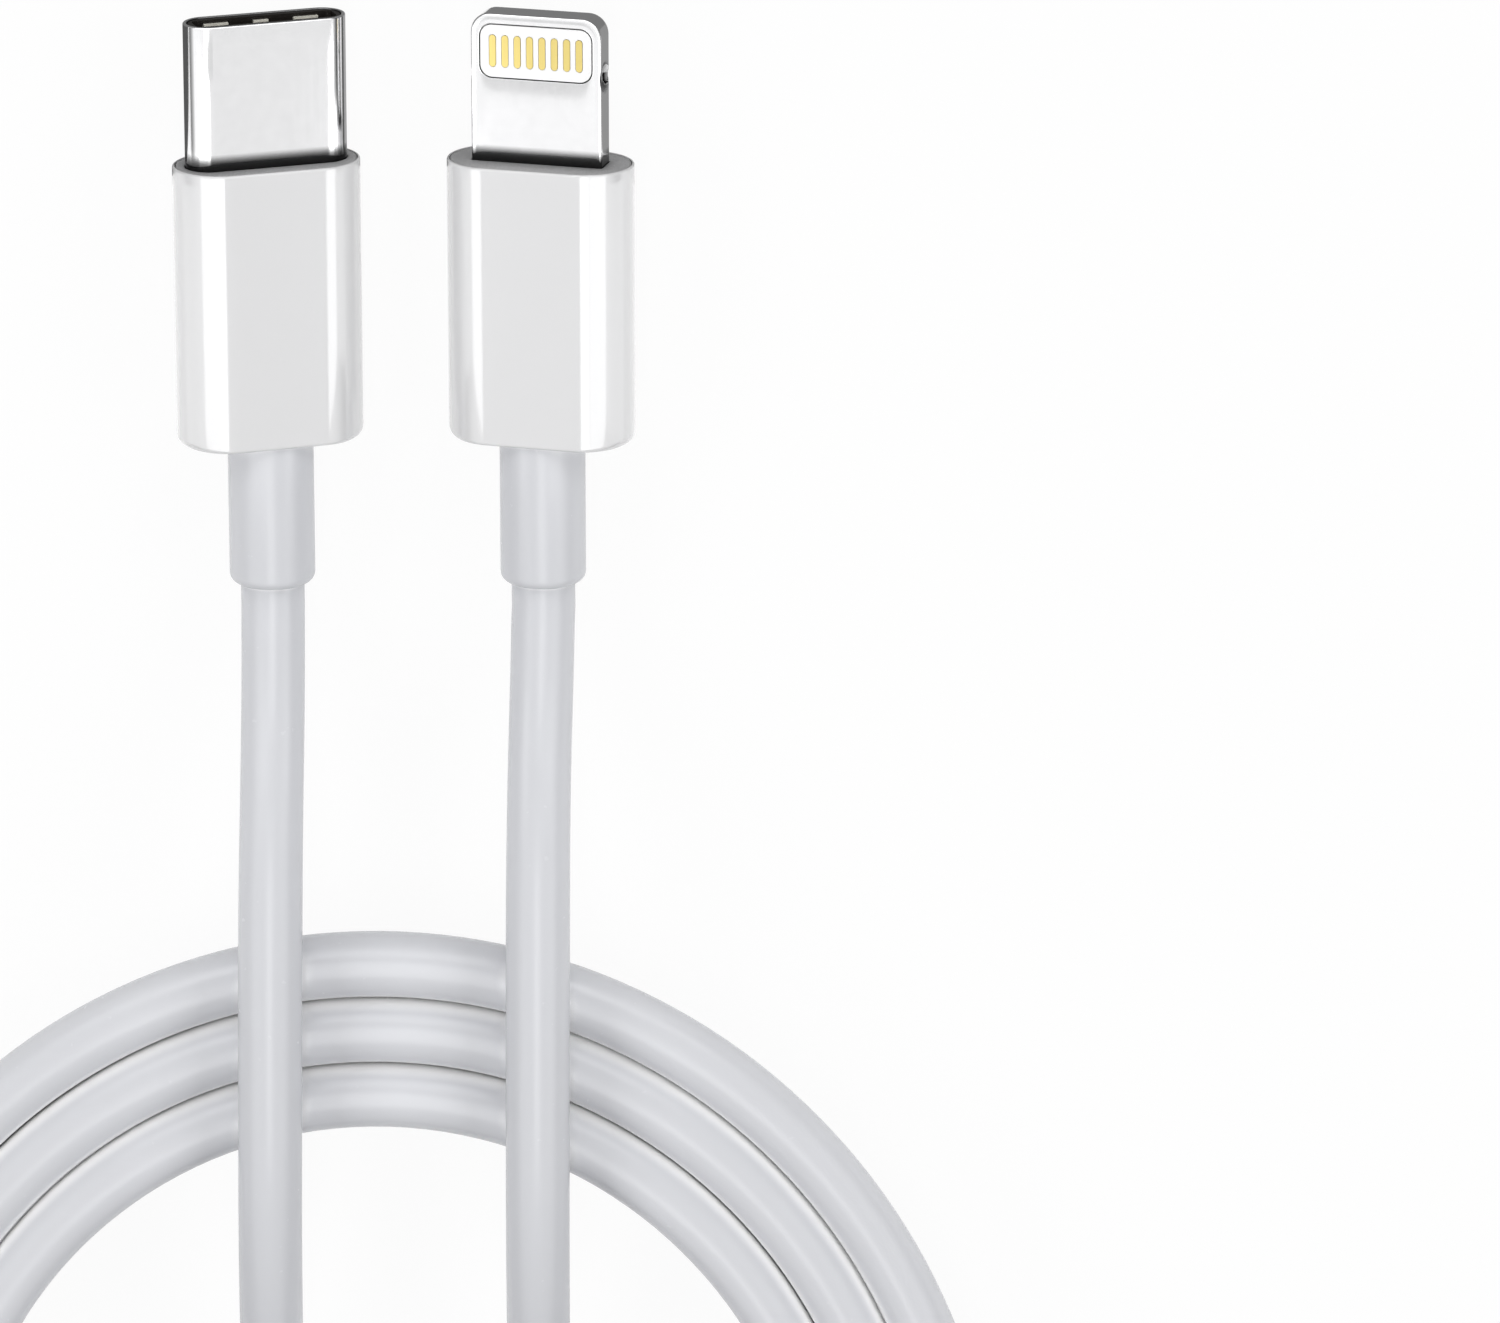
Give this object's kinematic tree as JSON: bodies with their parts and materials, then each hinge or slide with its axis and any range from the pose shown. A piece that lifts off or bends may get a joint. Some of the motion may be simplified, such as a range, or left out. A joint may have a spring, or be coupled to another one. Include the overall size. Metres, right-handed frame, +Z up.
{
  "type": "charging cable",
  "caption": "White phone charging cable with a reversible oval plug on one end and a thin eight-contact blade plug on the other, its cord wound into a flat round coil.",
  "frame": {"origin": "on the table, under the middle of the box round the two plugs", "axes": "+Y along both plugs, out of their grips towards their metal tips; +X from the oval plug to the blade plug; +Z up from the table; the coil lies on the -Y side"},
  "size_m": [0.0631, 0.1167, 0.0105],
  "materials": {
    "grip_white": "glossy moulded ABS",
    "face_plate_grey": "satin moulded plate",
    "relief_soft_plastic": "soft satin elastomer",
    "cord_jacket": "soft satin elastomer jacket",
    "bright_plated_steel": "bright nickel plate, drawn",
    "satin_steel": "satin, fine grain",
    "spring_steel": "bright stamped spring",
    "black_lining": "glass-filled moulding",
    "white_insert": "moulded insulator",
    "gold_plate": "gold plate over nickel",
    "inner_mould": "low-pressure moulding",
    "tinned_can": "tinned pressing",
    "circuit_card": "glass-epoxy card",
    "chip_black": "moulded epoxy package",
    "wire_power": "red insulation",
    "wire_data_plus": "green insulation",
    "wire_data_minus": "white insulation",
    "wire_ground": "black insulation"
  },
  "bodies": {
    "root": {"blade_card": "circuit_card", "blade_chip": "chip_black", "blade_face_plate": "face_plate_grey", "blade_grip": "grip_white", "blade_inner_mould": "inner_mould", "blade_insert": "white_insert", "blade_jacket_end": "cord_jacket", "blade_pad_back_1": "gold_plate", "blade_pad_back_2": "gold_plate", "blade_pad_back_3": "gold_plate", "blade_pad_back_4": "gold_plate", "blade_pad_back_5": "gold_plate", "blade_pad_back_6": "gold_plate", "blade_pad_back_7": "gold_plate", "blade_pad_back_8": "gold_plate", "blade_pad_front_1": "gold_plate", "blade_pad_front_2": "gold_plate", "blade_pad_front_3": "gold_plate", "blade_pad_front_4": "gold_plate", "blade_pad_front_5": "gold_plate", "blade_pad_front_6": "gold_plate", "blade_pad_front_7": "gold_plate", "blade_pad_front_8": "gold_plate", "blade_shield_can": "tinned_can", "blade_strain_relief": "relief_soft_plastic", "blade_tab": "satin_steel", "blade_wire_data_minus": "wire_data_minus", "blade_wire_data_plus": "wire_data_plus", "blade_wire_ground": "wire_ground", "blade_wire_power": "wire_power", "cord_coil": "cord_jacket", "cord_tail_blade": "cord_jacket", "cord_tail_oval": "cord_jacket", "oval_card": "circuit_card", "oval_contact_lower_ground_c": "gold_plate", "oval_contact_lower_ground_d": "gold_plate", "oval_contact_lower_power_c": "gold_plate", "oval_contact_lower_power_d": "gold_plate", "oval_contact_upper_data_minus": "gold_plate", "oval_contact_upper_data_plus": "gold_plate", "oval_contact_upper_ground_a": "gold_plate", "oval_contact_upper_ground_b": "gold_plate", "oval_contact_upper_power_a": "gold_plate", "oval_contact_upper_power_b": "gold_plate", "oval_contact_upper_sense": "gold_plate", "oval_face_plate": "face_plate_grey", "oval_grip": "grip_white", "oval_inner_mould": "inner_mould", "oval_jacket_end": "cord_jacket", "oval_latch": "satin_steel", "oval_lining": "black_lining", "oval_shell": "bright_plated_steel", "oval_shield_can": "tinned_can", "oval_spring_lower": "spring_steel", "oval_spring_upper": "spring_steel", "oval_strain_relief": "relief_soft_plastic", "oval_wire_data_minus": "wire_data_minus", "oval_wire_data_plus": "wire_data_plus", "oval_wire_ground": "wire_ground", "oval_wire_power": "wire_power"}
  },
  "joints": []
}
